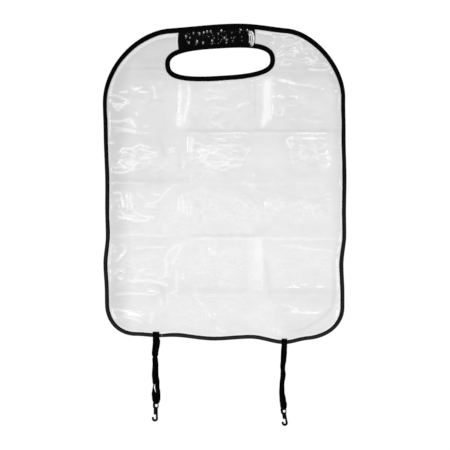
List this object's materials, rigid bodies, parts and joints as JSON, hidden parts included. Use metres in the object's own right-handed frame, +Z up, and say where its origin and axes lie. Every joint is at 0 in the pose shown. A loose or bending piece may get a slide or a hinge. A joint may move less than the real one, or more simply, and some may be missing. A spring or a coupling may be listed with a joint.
{
  "type": "seat back protector",
  "caption": "Clear flexible mat with rounded corners and a bound edge, a bound headrest slot gathered on an elastic band, and elastic straps that end in small hooks.",
  "frame": {"origin": "on the surface that the mat lies on, under the middle of its bounding box in plan, straps and hooks included", "axes": "+X across the mat towards the viewer's right, +Y from the strap end to the headrest end, +Z up from the surface, out of the clear face"},
  "size_m": [0.4804, 0.7924, 0.0066],
  "materials": {
    "clear_film": "clear soft film with a smooth, glossy face",
    "binding_tape": "woven black tape",
    "elastic_webbing": "black ribbed elastic",
    "hook_plastic": "moulded black plastic, satin"
  },
  "bodies": {
    "root": {"clear_sheet": "clear_film", "outer_binding": "binding_tape", "opening_binding": "binding_tape", "headrest_band": "elastic_webbing", "left_strap": "elastic_webbing", "right_strap": "elastic_webbing", "left_hook": "hook_plastic", "right_hook": "hook_plastic"}
  },
  "joints": []
}
